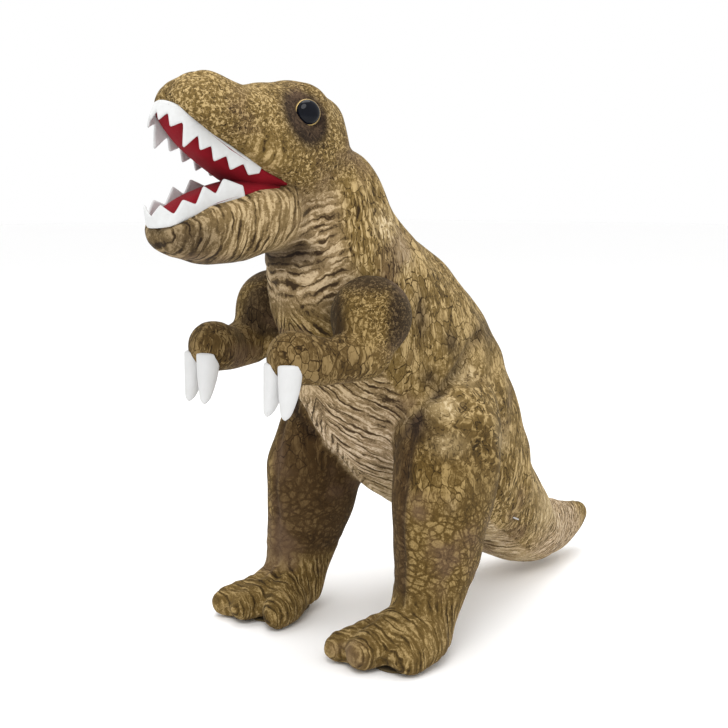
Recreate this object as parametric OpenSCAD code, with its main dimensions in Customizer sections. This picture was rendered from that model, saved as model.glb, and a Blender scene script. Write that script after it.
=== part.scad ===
// Stuffed Tyrannosaurus, standing on two feet and the tail.
// Each limb is a fabric cover around a fibre filling. Covers are cut into the panels
// that are sewn together; the head, jaw, tail, arms and legs are separate bodies.
// +X is the toy's left, -Y its front, +Z up; z = 0 is the floor.

/* [Trunk] */
// Widest width of the trunk
trunk_w = 110; // [100:1:120]
// Thickness of the printed velour with its backing
skin_t = 1.2; // [0.8:0.1:2]
// Half opening of the belly panel, measured around each trunk section
belly_angle = 42; // [30:1:55]

/* [Head] */
// Width of the head across the cheeks
head_w = 68; // [62:1:74]
// Slope of the upper lip, rising towards the nose
upper_lip_slope = 28.5; // [24:0.5:32]
// Slope of the lower lip, falling towards the chin
lower_lip_slope = 11.5; // [8:0.5:16]
// Diameter of each eye
eye_d = 15; // [12:0.5:18]

/* [Teeth] */
// Thickness of the felt that the tooth strips are cut from
felt_t = 1.6; // [1:0.1:2.5]
// Height of the upper strip at the nose, points included
upper_teeth_h = 19; // [12:0.5:22]
// Height of the upper strip at the mouth corner
upper_teeth_back_h = 8; // [6:0.5:10]
// Height of the lower strip at the chin, points included
lower_teeth_h = 15; // [10:0.5:17]
// Height of the lower strip at its rear end
lower_teeth_back_h = 7; // [5:0.5:9]

/* [Arms] */
// Radius of the round shoulder
shoulder_r = 20; // [17:0.5:22]
// Radius of the hand
hand_r = 15; // [12:0.5:16]
// Length of each white hand claw
claw_len = 27; // [20:1:30]

/* [Legs] */
// Distance between the two feet's centre lines
stance_w = 114; // [108:1:120]
// Width of the thigh
thigh_w = 58; // [52:1:60]
// Thickness of the sole panel
sole_t = 1.5; // [1.2:0.1:2.5]

/* [Tail] */
// Length of the tail behind its root
tail_len = 134; // [125:1:145]

/* [Joints] */
// How far the head turns to each side
head_turn = 18; // [5:1:20]
// How far the jaw opens further from rest
jaw_open = 8; // [2:1:10]
// How far the jaw closes from rest
jaw_close = 1; // [1:1:2]
// How far each arm swings forwards and back
arm_swing = 20; // [5:1:25]
// How far each leg swings forwards and back
leg_swing = 10; // [3:1:12]
// How far the tail swings to each side
tail_swing = 14; // [5:1:16]
// Space between two bodies
body_gap = 0.4; // [0.3:0.05:0.6]

/* [Hidden] */
// Space between a cover and its filling
fill_gap = 0.2;
// Space kept round the jaw as it moves
jaw_gap = 1;
// Thickness of one loft slice
slice_t = 0.02;
// Sides of a loft section and of a round form in a hull
sides = 20;
ball_fn = 14;
inner_ball_fn = 10;
big = 1000;

// A station is [x, y, z, tilt, half width, half depth]. The tilt turns the slice about X,
// so that the loft runs along (0, sin(tilt), -cos(tilt)).
wk = trunk_w / 110;
TRUNK = [
    [0, -92, 280, 14, 32, 38], [0, -81, 253, 24, 38 * wk, 46], [0, -62, 224, 36, 45 * wk, 58], [0, -39, 193, 44, 50 * wk, 68],
    [0, -12, 162, 46, 54 * wk, 71], [0, 16, 131, 48, 55 * wk, 66], [0, 41, 103, 50, 52 * wk, 56],
    [0, 66, 76, 54, 45 * wk, 46]
];
NECK = [
    [0, -62, 224, 36, 45 * wk, 58], [0, -81, 253, 24, 38 * wk, 46], [0, -92, 280, 14, 32, 38],
    [0, -102, 301, 10, 25, 25]
];
hk = head_w / 68;
HEAD = [
    [0, -98, 304, 90, 30 * hk, 34], [0, -114, 303, 90, 34 * hk, 38], [0, -134, 306, 90, 32 * hk, 35],
    [0, -155, 313, 90, 28 * hk, 28], [0, -175, 320, 90, 24 * hk, 23], [0, -189, 323, 90, 20 * hk, 18]
];
JAW = [
    [0, -118, 262, 90, 22 * hk, 16], [0, -134, 270, 90, 29 * hk, 24], [0, -152, 269, 90, 27 * hk, 27],
    [0, -173, 266, 90, 24 * hk, 23], [0, -188, 263, 90, 20 * hk, 17]
];
tk = tail_len / 134;
tail_y = 66;
TAIL = [
    [0, tail_y, 76, 54, 44, 45], [0, tail_y + 25 * tk, 52, 60, 37, 39], [0, tail_y + 50 * tk, 34, 70, 30, 32],
    [0, tail_y + 75 * tk, 26, 84, 24, 26], [0, tail_y + 100 * tk, 25, 96, 18, 21],
    [0, tail_y + 121 * tk, 28, 104, 12, 14]
];
foot_x = stance_w / 2;
lk = thigh_w / 58;
LEG = [
    [foot_x - 7, -22, 150, 0, 20 * lk, 34], [foot_x - 3, -23, 128, 0, 27 * lk, 42],
    [foot_x, -28, 104, 0, 29 * lk, 41], [foot_x, -35, 80, 0, 28 * lk, 37], [foot_x, -42, 56, 0, 25, 30],
    [foot_x, -48, 36, 0, 22, 26], [foot_x, -54, 20, 0, 23, 27], [foot_x, -54, 6, 0, 22, 26]
];
// Each toe runs from its instep ball to its tip ball: [x, y, z, radius] beside the foot's centre line
TOES = [
    [[-13, -74, 19, 17], [-25, -102, 9, 11]], [[0, -74, 25, 18], [0, -103, 11, 13]],
    [[11, -70, 19, 17], [25, -101, 9, 11]]
];
heel = [0, -42, 15, 17];
// Sole under a toe as a share of the toe's radius, and under the heel and the ball of the foot
toe_print = 0.72;
heel_print_r = 15;
ball_print_r = 20;

// Joint centres
neck_c = [0, -81, 253];
neck_tilt = 24;
jaw_c = [0, -120, 270];
shoulder = [42, -88, 208];
elbow = [50, -100, 184];
wrist = [44, -124, 184];
hand = [36, -142, 190];
claw_inner_x = -6.5;
claw_outer_x = 8;
hip = [foot_x - 3, -22, 130];
tail_c = [0, tail_y, 76];
tail_cut = 24;
lip = [0, -128, 281];
// Underside of the cheeks, and the notch in the throat that the jaw's root fills
cheek_z = 284;
throat_y = -112;
throat_z = 225;
upper_lip = [76, 17, 22];
lower_lip = [68, 17, 24];
lining_inset = felt_t + 0.7;
eye = [25.5, -126, 322];
eye_yaw = 22;
eye_stem_r = 2.2;
eye_stem_l = 12;
washer_r = 8;
washer_t = 1.6;
washer_depth = 6;

// ---------- lofting ----------

function blend4(a, b, c, d, t) =
    0.5 * (2 * b + (c - a) * t + (2 * a - 5 * b + 4 * c - d) * t * t + (3 * b - a - 3 * c + d) * t * t * t);

// A smooth line of stations through the given ones, grown sideways by g. The outer surface has
// two steps between neighbours, and the others have one.
function smooth_line(p, g) = smooth(grown(p, g), g == 0 ? 2 : 1);

function smooth(p, n) = concat(
    [for (i = [0 : len(p) - 2]) for (k = [0 : n - 1])
        blend4(p[max(i - 1, 0)], p[i], p[i + 1], p[min(i + 2, len(p) - 1)], k / n)],
    [p[len(p) - 1]]
);

function grown(p, g) = [for (s = p) [s[0], s[1], s[2], s[3], s[4] + g, s[5] + g]];

// Stations that close an end as a half ellipsoid; length is negative for an upstream end
function cap(s, length, n = 3) = [for (k = [1 : n])
    let (a = 88 * k / n, m = length * sin(a))
        [s[0], s[1] + m * sin(s[3]), s[2] - m * cos(s[3]), s[3], s[4] * cos(a), s[5] * cos(a)]];

function flipped(p) = [for (i = [len(p) - 1 : -1 : 0]) p[i]];

module slice(s)
    translate([s[0], s[1], s[2]])
        rotate([s[3], 0, 0])
            scale([s[4], s[5], 1])
                rotate([0, 0, 180 / sides])
                    cylinder(r = 1, h = slice_t, center = true, $fn = sides);

module loft(p)
    for (i = [0 : len(p) - 2])
        hull() {
            slice(p[i]);
            slice(p[i + 1]);
        }

module ball(s, g = 0)
    translate([s[0], s[1], s[2]])
        sphere(r = s[3] + g, $fn = g < 0 ? inner_ball_fn : ball_fn);

module link(a, b, g = 0)
    hull() {
        ball(a, g);
        ball(b, g);
    }

// Turns its children about a sideways axis through the point c
module swing(c, angle)
    translate(c)
        rotate([angle, 0, 0])
            translate(-c)
                children();

module half(side)
    intersection() {
        children();
        translate([side * big / 2, 0, 0])
            cube(big, center = true);
    }

module mirrored(side)
    scale([side, 1, 1])
        children();

// Everything on the far side of a slanted plane through c: up is +1 for above it, -1 for below it
module beyond(c, tilt, up, away = 0)
    translate(c)
        rotate([tilt, 0, 0])
            translate([0, 0, up * (big / 2 + away)])
                cube(big, center = true);

// ---------- trunk ----------

module trunk_form(g) loft(smooth_line(TRUNK, g));

// Where the neck and the tail leave the trunk
module trunk_ends() {
    beyond(neck_c, neck_tilt, 1, -body_gap / 2);
    beyond(tail_c, TAIL[0][3], -1, -tail_cut);
}

// The room that the limbs need over their whole travel
module limb_room()
    union() {
        for (side = [-1, 1]) {
            mirrored(side)
                hull()
                    for (a = [-leg_swing, 0, leg_swing])
                        swing(hip, a)
                            leg_top(body_gap);
            mirrored(side)
                arm_room();
        }
        hull()
            for (a = [-tail_swing, 0, tail_swing])
                translate(tail_c)
                    rotate([0, 0, a])
                        translate(-tail_c)
                            loft(tail_front(body_gap));
    }

module arm_room()
    for (k = [0 : 1])
        hull()
            for (a = [-arm_swing, 0, arm_swing])
                swing(shoulder, a)
                    link(arm_balls()[k], arm_balls()[k + 1], body_gap);

module belly_wedge()
    for (i = [0 : len(TRUNK) - 2])
        hull()
            for (s = [TRUNK[i], TRUNK[i + 1]])
                translate([s[0], s[1], s[2]])
                    rotate([s[3], 0, 0])
                        linear_extrude(slice_t, center = true)
                            polygon([[0, -4], [big / 4 * tan(belly_angle), -big / 4], [-big / 4 * tan(belly_angle), -big / 4]]);

module trunk_shell()
    difference() {
        trunk_form(0);
        trunk_form(-skin_t);
        trunk_ends();
        limb_room();
    }

module side_panel(side)
    half(side)
        difference() {
            trunk_shell();
            belly_wedge();
        }

module side_panel_left() color("darkkhaki") side_panel(1);

module side_panel_right() color("darkkhaki") side_panel(-1);

module belly_panel()
    color("wheat")
        intersection() {
            trunk_shell();
            belly_wedge();
        }

module body_stuffing()
    color("ivory")
        difference() {
            trunk_form(-skin_t - fill_gap);
            trunk_ends();
            limb_room();
        }

// ---------- head ----------

module head_form(g) {
    loft(smooth_line(NECK, g));
    loft(concat(
        flipped(cap(grown(HEAD, g)[0], 25 + g)),
        smooth_line(HEAD, g),
        cap(grown(HEAD, g)[5], -11 - g)));
}

// Everything below the upper lip and in front of the throat, as an outline of [height, Y]
module mouth_space()
    rotate([0, -90, 0])
        linear_extrude(big, center = true)
            polygon([
                [cheek_z, throat_y],
                [cheek_z, lip[1] - (cheek_z - lip[2]) / tan(upper_lip_slope)],
                [lip[2] + big * sin(upper_lip_slope), lip[1] - big * cos(upper_lip_slope)],
                [throat_z, -big],
                [throat_z, throat_y]
            ]);

module jaw_room()
    hull()
        for (a = [-jaw_close, 0, jaw_open])
            swing(jaw_c, a)
                difference() {
                    jaw_form(jaw_gap);
                    above_lower_lip(body_gap);
                }

// What is cut from the head: the neck's end, the mouth, the jaw's travel and the eyes
module head_cuts() {
    beyond(neck_c, neck_tilt, -1, -body_gap / 2);
    mouth_space();
    jaw_room();
    palate_space();
    eye_space();
}

module head_shell()
    difference() {
        head_form(0);
        head_form(-skin_t);
        head_cuts();
    }

module head_panel(side) half(side) head_shell();

module head_panel_left() color("olive") head_panel(1);

module head_panel_right() color("olive") head_panel(-1);

module head_stuffing()
    color("ivory")
        difference() {
            head_form(-skin_t - fill_gap);
            head_cuts();
            for (side = [-1, 1])
                mirrored(side)
                    eye_frame()
                        translate([0, 0, -washer_depth - 1])
                            cylinder(r = washer_r + 1, h = washer_depth + 2, $fn = 24);
        }

// Outline of a lip seen square to its plane, from the mouth corner forwards. A lip is
// [reach, radius of its front, half width at the mouth corner].
module lip_outline(lip_size, inset)
    hull() {
        translate([0, lip_size[1] - lip_size[0]])
            circle(r = lip_size[1] - inset, $fn = 32);
        translate([0, -2])
            square([2 * (lip_size[2] - inset), 4], center = true);
    }

module on_upper_lip()
    translate(lip)
        rotate([-upper_lip_slope, 0, 0])
            children();

module on_lower_lip()
    translate(lip)
        rotate([lower_lip_slope, 0, 0])
            children();

module palate_space()
    on_upper_lip()
        translate([0, 0, -1])
            linear_extrude(1 + skin_t + fill_gap)
                lip_outline(upper_lip, lining_inset - fill_gap);

module palate_lining()
    color("crimson")
        intersection() {
            on_upper_lip()
                translate([0, 0, 0.1])
                    linear_extrude(skin_t)
                        lip_outline(upper_lip, lining_inset);
            head_form(-felt_t);
        }

// A felt strip around a lip, with pointed teeth along its free edge
module tooth_strip(lip_size, front_h, back_h, start, count)
    intersection() {
        linear_extrude(front_h)
            difference() {
                lip_outline(lip_size, 0.6);
                lip_outline(lip_size, 0.6 + felt_t);
            }
        rotate([90, 0, -90])
            linear_extrude(big, center = true)
                union()
                    for (i = [0 : count - 1])
                        let (step = (lip_size[0] - start) / count, y = start + step * i)
                            let (h = back_h + (front_h - back_h) * i / (count - 1))
                                polygon([[y, -1], [y, h * 0.45], [y + step * 0.5, h], [y + step, h * 0.45],
                                    [y + step, -1]]);
    }

module upper_teeth()
    color("white")
        on_upper_lip()
            mirror([0, 0, 1])
                translate([0, 0, 0.2])
                    tooth_strip(upper_lip, upper_teeth_h, upper_teeth_back_h, 6, 7);

// ---------- eyes ----------

module eye_frame()
    translate(eye)
        rotate([0, 90 - 8, -eye_yaw])
            children();

module eye_ball(g = 0)
    eye_frame() {
        translate([0, 0, -1])
            cylinder(r = eye_d / 2 + g, h = 4 + g);
        translate([0, 0, 3 + g])
            intersection() {
                translate([0, 0, -5])
                    sphere(r = sqrt(pow(eye_d / 2 + g, 2) + 25));
                cylinder(r = eye_d, h = 20);
            }
    }

module eye_space()
    for (side = [-1, 1])
        mirrored(side) {
            eye_frame()
                translate([0, 0, -1.2])
                    cylinder(r = eye_d / 2 + 0.2, h = 20, $fn = 32);
            eye_frame()
                translate([0, 0, -14])
                    cylinder(r = eye_stem_r + 0.4, h = 14, $fn = 24);
        }

module eye_piece(side)
    mirrored(side)
        union() {
            eye_ball();
            eye_frame()
                translate([0, 0, -eye_stem_l])
                    cylinder(r = eye_stem_r, h = eye_stem_l);
        }

module eye_washer(side)
    mirrored(side)
        eye_frame()
            translate([0, 0, -washer_depth])
                difference() {
                    cylinder(r = washer_r, h = washer_t);
                    translate([0, 0, -1])
                        cylinder(r = eye_stem_r + 0.05, h = washer_t + 2);
                }

module eye_left() color("black") eye_piece(1);

module eye_right() color("black") eye_piece(-1);

module eye_washer_left() color("silver") eye_washer(1);

module eye_washer_right() color("silver") eye_washer(-1);

// ---------- jaw ----------

module jaw_form(g)
    loft(concat(
        flipped(cap(grown(JAW, g)[0], 18 + g)),
        smooth_line(JAW, g),
        cap(grown(JAW, g)[4], -9 - g)));

module above_lower_lip(g = 0)
    on_lower_lip()
        translate([0, 0, big / 2 + g])
            cube(big, center = true);

module floor_space()
    on_lower_lip()
        translate([0, 0, -skin_t - fill_gap])
            linear_extrude(1 + skin_t + fill_gap)
                lip_outline(lower_lip, lining_inset - fill_gap);

module jaw_cover()
    color("olive")
        difference() {
            jaw_form(0);
            jaw_form(-skin_t);
            above_lower_lip();
            floor_space();
        }

module jaw_stuffing()
    color("ivory")
        difference() {
            jaw_form(-skin_t - fill_gap);
            above_lower_lip();
            floor_space();
        }

module mouth_floor_lining()
    color("crimson")
        on_lower_lip()
            mirror([0, 0, 1])
                translate([0, 0, 0.1])
                    linear_extrude(skin_t)
                        lip_outline(lower_lip, lining_inset);

module lower_teeth()
    color("white")
        on_lower_lip()
            translate([0, 0, 0.2])
                tooth_strip(lower_lip, lower_teeth_h, lower_teeth_back_h, 24, 4);

// ---------- arms ----------

function arm_balls() = [
    [shoulder[0], shoulder[1], shoulder[2], shoulder_r], [elbow[0], elbow[1], elbow[2], 16],
    [wrist[0], wrist[1], wrist[2], 12.5], [hand[0], hand[1], hand[2], hand_r]
];

module arm_solid(g)
    for (k = [0 : 2])
        link(arm_balls()[k], arm_balls()[k + 1], g);

module claw(side, offset)
    mirrored(side)
        difference() {
            translate(hand + [offset, -9, -6])
                hull() {
                    scale([1, 1.15, 1])
                        sphere(r = 5.6, $fn = 16);
                    translate([0, 0, -claw_len * 0.55])
                        sphere(r = 4.6, $fn = 16);
                    translate([0, -2, -claw_len + 5.5])
                        sphere(r = 2.6, $fn = 16);
                }
            arm_solid(0.15);
        }

module arm_cover(side)
    mirrored(side)
        difference() {
            arm_solid(0);
            arm_solid(-skin_t);
        }

module arm_stuffing(side) mirrored(side) arm_solid(-skin_t - fill_gap);

module arm_cover_left() color("darkolivegreen") arm_cover(1);

module arm_cover_right() color("darkolivegreen") arm_cover(-1);

module arm_stuffing_left() color("ivory") arm_stuffing(1);

module arm_stuffing_right() color("ivory") arm_stuffing(-1);

module claw_inner_left() color("white") claw(1, claw_inner_x);

module claw_outer_left() color("white") claw(1, claw_outer_x);

module claw_inner_right() color("white") claw(-1, claw_inner_x);

module claw_outer_right() color("white") claw(-1, claw_outer_x);

// ---------- legs ----------

module leg_top(g)
    loft(concat(
        flipped(cap(grown(LEG, g)[0], -12 - g)),
        [for (i = [0 : 4]) grown(LEG, g)[i]]
    ));

module foot(g)
    translate([foot_x, 0, 0]) {
        for (t = TOES)
            link(t[0], t[1], g);
        ball(heel, g);
    }

module leg_form(g) {
    loft(concat(flipped(cap(grown(LEG, g)[0], -12 - g)), grown(LEG, g)));
    foot(g);
}

module below(z)
    translate([0, 0, z - big / 2])
        cube(big, center = true);

module leg_shell()
    difference() {
        leg_form(0);
        leg_form(-skin_t);
        below(sole_t);
    }

// The seam between the two leg panels runs down the front and back of the leg
module leg_panel(side, outer)
    mirrored(side)
        translate([foot_x, 0, 0])
            half(outer)
                translate([-foot_x, 0, 0])
                    leg_shell();

module leg_stuffing(side)
    mirrored(side)
        difference() {
            leg_form(-skin_t - fill_gap);
            below(sole_t + fill_gap);
        }

module sole(side)
    mirrored(side)
        translate([foot_x, 0, 0])
            linear_extrude(sole_t) {
                for (t = TOES)
                    hull()
                        for (b = t)
                            translate([b[0], b[1]])
                                circle(r = b[3] * toe_print, $fn = 32);
                hull() {
                    translate([heel[0], heel[1]])
                        circle(r = heel_print_r, $fn = 32);
                    translate([0, -70])
                        circle(r = ball_print_r, $fn = 32);
                }
            }

module leg_outer_left() color("darkolivegreen") leg_panel(1, 1);

module leg_inner_left() color("darkolivegreen") leg_panel(1, -1);

module leg_stuffing_left() color("ivory") leg_stuffing(1);

module sole_left() color("dimgray") sole(1);

module leg_outer_right() color("darkolivegreen") leg_panel(-1, 1);

module leg_inner_right() color("darkolivegreen") leg_panel(-1, -1);

module leg_stuffing_right() color("ivory") leg_stuffing(-1);

module sole_right() color("dimgray") sole(-1);

// ---------- tail ----------

function tail_front(g) = concat(
    flipped(cap(grown(TAIL, g)[0], -42 - g)),
    [grown(TAIL, g)[0], grown(TAIL, g)[1]]
);

module tail_form(g)
    loft(concat(
        flipped(cap(grown(TAIL, g)[0], -42 - g)),
        smooth_line(TAIL, g),
        cap(grown(TAIL, g)[5], 14 + g)
    ));

module tail_panel(side)
    half(side)
        difference() {
            tail_form(0);
            tail_form(-skin_t);
        }

module tail_panel_left() color("tan") tail_panel(1);

module tail_panel_right() color("tan") tail_panel(-1);

module tail_stuffing() color("ivory") tail_form(-skin_t - fill_gap);

// A nylon tag pin through the left side of the tail's root
module tag_pin()
    color("white")
        translate([34, 46, 64])
            rotate([0, 114, 62])
                cylinder(r = 0.5, h = 16);

side_panel_left();
side_panel_right();
belly_panel();
body_stuffing();
head_panel_left();
head_panel_right();
head_stuffing();
palate_lining();
upper_teeth();
eye_left();
eye_right();
eye_washer_left();
eye_washer_right();
jaw_cover();
jaw_stuffing();
mouth_floor_lining();
lower_teeth();
arm_cover_left();
arm_stuffing_left();
claw_inner_left();
claw_outer_left();
arm_cover_right();
arm_stuffing_right();
claw_inner_right();
claw_outer_right();
leg_outer_left();
leg_inner_left();
leg_stuffing_left();
sole_left();
leg_outer_right();
leg_inner_right();
leg_stuffing_right();
sole_right();
tail_panel_left();
tail_panel_right();
tail_stuffing();
tag_pin();
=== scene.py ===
"""A stuffed toy dinosaur: printed velour skins, felt teeth, safety eyes and soft claws over the CAD frame."""

import math

import bmesh
import bpy
import numpy as np
from mathutils import Matrix, Vector


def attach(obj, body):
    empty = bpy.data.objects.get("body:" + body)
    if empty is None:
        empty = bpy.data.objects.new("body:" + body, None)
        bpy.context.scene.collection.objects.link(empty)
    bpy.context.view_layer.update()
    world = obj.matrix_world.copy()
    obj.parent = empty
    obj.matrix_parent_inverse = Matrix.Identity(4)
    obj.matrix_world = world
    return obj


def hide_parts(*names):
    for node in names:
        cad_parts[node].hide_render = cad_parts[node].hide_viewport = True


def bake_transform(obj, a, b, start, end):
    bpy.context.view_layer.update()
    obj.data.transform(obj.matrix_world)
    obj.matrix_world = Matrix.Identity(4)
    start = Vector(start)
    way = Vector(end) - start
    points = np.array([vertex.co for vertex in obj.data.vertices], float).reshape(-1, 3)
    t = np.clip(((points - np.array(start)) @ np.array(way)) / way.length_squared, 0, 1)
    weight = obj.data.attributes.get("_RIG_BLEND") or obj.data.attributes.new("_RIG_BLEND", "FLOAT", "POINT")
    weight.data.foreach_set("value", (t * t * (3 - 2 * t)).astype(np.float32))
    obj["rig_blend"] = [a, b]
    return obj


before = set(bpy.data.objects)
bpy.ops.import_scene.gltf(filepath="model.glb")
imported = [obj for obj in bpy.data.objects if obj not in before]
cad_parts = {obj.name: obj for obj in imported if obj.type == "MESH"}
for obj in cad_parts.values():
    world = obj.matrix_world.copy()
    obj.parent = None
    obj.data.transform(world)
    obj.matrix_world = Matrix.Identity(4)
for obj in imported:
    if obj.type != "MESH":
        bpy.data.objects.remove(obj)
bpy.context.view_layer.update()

MM = 0.001
SIDES = (("left", 1), ("right", -1))

# ---------- the toy's sizes, in millimetres ----------
# A station is (x, y, z, tilt, half width, half depth); a line of them runs along
# (0, sin(tilt), -cos(tilt)), and its depth is measured along (0, cos(tilt), sin(tilt)).

TRUNK = (
    (0, -83.5, 280, 14, 31, 36.5), (0, -80.5, 253, 24, 38, 44), (0, -64, 223, 36, 45, 55.5),
    (0, -41.5, 191.5, 44, 50, 66), (0, -12.5, 161, 46, 54, 71), (0, 14.5, 129.5, 48, 55, 65),
    (0, 39, 101, 50, 52, 53), (0, 64.5, 74.5, 54, 44, 43),
)
NECK = (TRUNK[2], TRUNK[1], TRUNK[0], (0, -96, 301, 10, 25, 25))
HEAD = (
    (0, -99, 305, 90, 29, 35), (0, -114, 304, 90, 33.5, 39), (0, -134, 306, 90, 32, 35),
    (0, -155, 313, 90, 28, 28), (0, -175, 320, 90, 25, 22.5), (0, -190, 323, 90, 21.5, 17.5),
)
JAW = (
    (0, -118, 262, 90, 22, 16), (0, -134, 270, 90, 29, 25), (0, -152, 268.5, 90, 27, 28.5),
    (0, -173, 264.5, 90, 25, 25.5), (0, -196, 261.5, 90, 22, 17),
)
TAIL = (
    (0, 65, 75, 54, 43, 43), (0, 91, 52, 60, 35, 36), (0, 116, 35, 70, 28, 29.5), (0, 141, 27, 84, 22, 24),
    (0, 165, 26, 96, 16, 18.5), (0, 184, 29, 106, 11, 12),
)
FOOT_X = 60
LEG = (
    (FOOT_X - 10, -24, 150, 0, 20, 37), (FOOT_X - 6, -30, 128, 0, 26, 40),
    (FOOT_X - 2, -37.5, 104, 0, 27.5, 38), (FOOT_X - 2, -41.5, 80, 0, 28, 34.5),
    (FOOT_X - 1, -46.5, 56, 0, 25, 29), (FOOT_X - 1, -52, 36, 0, 22, 24),
    (FOOT_X - 1, -60, 20, 0, 21.5, 21), (FOOT_X - 1, -61, 6, 0, 20, 19),
)
LEG_SEAM_X = FOOT_X - 3
# Each toe is its instep ball and its tip ball: (x beside the foot's centre line, y, z, radius).
# The stuffing sits unevenly: the left foot (1) points ahead, the right one (-1) a little outward.
TOES = {
    1: (((-14, -77, 14.5, 13.5), (-28, -103, 9.5, 10)), ((-4, -77, 16.5, 14), (-9, -103, 10.5, 11)),
        ((10, -70, 16, 15), (14, -89, 11, 12))),
    -1: (((-13, -74, 14.5, 13.5), (-25, -96, 9.5, 10)), ((-1, -77, 16.5, 14), (1, -101, 10.5, 11)),
         ((9, -75, 15, 14), (19, -104, 9.5, 10))),
}
TOE_CLEFTS = {
    1: (((FOOT_X - 9, -70, 32), (FOOT_X + 5, -106, 4)), ((FOOT_X - 15, -86, 27), (FOOT_X - 20, -114, 4))),
    -1: (((FOOT_X + 2, -74, 32), (FOOT_X + 11, -112, 4)), ((FOOT_X - 7, -76, 30), (FOOT_X - 13, -110, 4))),
}
HEEL = (-1, -55, 14, 13)
SHOULDER = (43.5, -88, 208.5, 24.5)
ELBOW = (50, -100, 188, 15)
WRIST = (44, -124, 185, 13.5)
HAND = (36, -142, 189, 15.5)

LIP = (0, -120, 281)
UPPER_SLOPE = math.radians(29)
LOWER_SLOPE = math.radians(12.5)
# A lip is its reach from the corner, the radius of its front and its half width at the corner
UPPER_LIP = (95, 15, 22)
LOWER_LIP = (92, 15, 22)
# How far the middle of the upper lip sags, and the middle of the lower lip rises
UPPER_SAG = 4.5
LOWER_RISE = 5
LIP_ARCH = 84  # the length from the corner over which they do
EYE = (27.3, -122.5, 323)
EYE_YAW = 22
SOLE_T = 1.5

# Where the skin is cut into pieces. The belly's edge is an angle round the trunk from the underside, in
# radians; the neck's ends, and the planes between which it bends, are heights along its axis.
LEG_TOP = 165
TAIL_START = 40
BELLY_EDGE = 0.83
CHEEK_Y = -126
CHEEK_Z = 262
NECK_ENDS = (-28, 22)
NECK_BEND = (-26, 20)

# The spacing of the skins' first, even meshes
SKIN_VOXEL = 3.6
ARM_VOXEL = 2.6

# ---------- solids from stations ----------


def smooth_line(stations, steps):
    """A Catmull-Rom line of stations through the given ones."""
    p = np.array(stations, float)
    p = np.vstack([p[0], p, p[-1]])
    line = []
    for a, b, c, d in zip(p, p[1:], p[2:], p[3:]):
        for t in np.arange(steps) / steps:
            line.append(0.5 * (2 * b + (c - a) * t + (2 * a - 5 * b + 4 * c - d) * t**2
                               + (3 * b - a - 3 * c + d) * t**3))
    line.append(p[-2])
    return line


def cap(station, length, steps=5):
    """Stations that close an end as half an ellipsoid; a negative length closes an upstream end."""
    x, y, z, tilt, half_w, half_d = station
    t = math.radians(tilt)
    made = []
    for k in range(1, steps + 1):
        a = math.radians(88) * k / steps
        m = length * math.sin(a)
        share = math.cos(a)
        made.append((x, y + m * math.sin(t), z - m * math.cos(t), tilt, half_w * share, half_d * share))
    return made


def capped(stations, start, end=0):
    """A smooth line of stations, closed at its start and, where a length is given, at its end."""
    line = cap(stations[0], start)[::-1] + smooth_line(stations, 4)
    return line + cap(stations[-1], end) if end else line


def mesh_from(bm, name, side=1, unit=1):
    """The bmesh as a mesh, put on one side of the toy and scaled, with its faces turned outwards."""
    bmesh.ops.scale(bm, vec=(side * unit, unit, unit), verts=bm.verts[:])
    bmesh.ops.recalc_face_normals(bm, faces=bm.faces[:])
    mesh = bpy.data.meshes.new(name)
    bm.to_mesh(mesh)
    bm.free()
    return mesh


def bridge(bm, rings):
    """Walls between neighbouring rings of vertices, and a lid on each end."""
    sides = len(rings[0])
    for low, high in zip(rings, rings[1:]):
        for k in range(sides):
            j = (k + 1) % sides
            bm.faces.new((low[k], low[j], high[j], high[k]))
    bm.faces.new(list(reversed(rings[0])))
    bm.faces.new(rings[-1])


def lofted(line, side=1, cut=None, sides=40):
    """A closed solid through a line of stations; cut is the normal of a plane through the mouth's corner,
    and everything on its side of the plane is cut off."""
    bm = bmesh.new()
    rings = []
    for x, y, z, tilt, half_w, half_d in line:
        t = math.radians(tilt)
        centre, normal = Vector((x, y, z)), Vector((0, math.cos(t), math.sin(t)))
        ring = []
        for k in range(sides):
            a = 2 * math.pi * (k + 0.5) / sides
            across = Vector((half_w * math.cos(a), 0, 0))
            ring.append(bm.verts.new(centre + across + normal * half_d * math.sin(a)))
        rings.append(ring)
    bridge(bm, rings)
    if cut:
        everything = bm.verts[:] + bm.edges[:] + bm.faces[:]
        bmesh.ops.bisect_plane(bm, geom=everything, plane_co=LIP, plane_no=cut, clear_outer=True)
        bmesh.ops.holes_fill(bm, edges=[e for e in bm.edges if e.is_boundary])
    return mesh_from(bm, "loft", side)


def linked(side, first, second, beside=0):
    """The hull of two balls, each (x, y, z, radius), moved outwards and put on one side of the toy."""
    bm = bmesh.new()
    for x, y, z, r in (first, second):
        bmesh.ops.create_icosphere(bm, subdivisions=3, radius=r, matrix=Matrix.Translation((x, y, z)))
    bmesh.ops.delete(bm, geom=bm.edges[:], context="EDGES_FACES")
    hull = bmesh.ops.convex_hull(bm, input=bm.verts[:])
    inside = [g for g in hull["geom_interior"] if isinstance(g, bmesh.types.BMVert)]
    bmesh.ops.delete(bm, geom=inside, context="VERTS")
    bmesh.ops.translate(bm, vec=(beside, 0, 0), verts=bm.verts[:])
    return mesh_from(bm, "link", side)


def joined(meshes):
    """One mesh, in metres, that holds copies of the given ones, in millimetres."""
    bm = bmesh.new()
    for mesh in meshes:
        bm.from_mesh(mesh)
        bpy.data.meshes.remove(mesh)
    return mesh_from(bm, "joined", unit=MM)


# ---------- meshes ----------


def applied(obj):
    """The object's mesh with its modifiers applied; the object itself goes."""
    depsgraph = bpy.context.evaluated_depsgraph_get()
    mesh = bpy.data.meshes.new_from_object(obj.evaluated_get(depsgraph))
    old = obj.data
    bpy.data.objects.remove(obj)
    bpy.data.meshes.remove(old)
    return mesh


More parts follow.
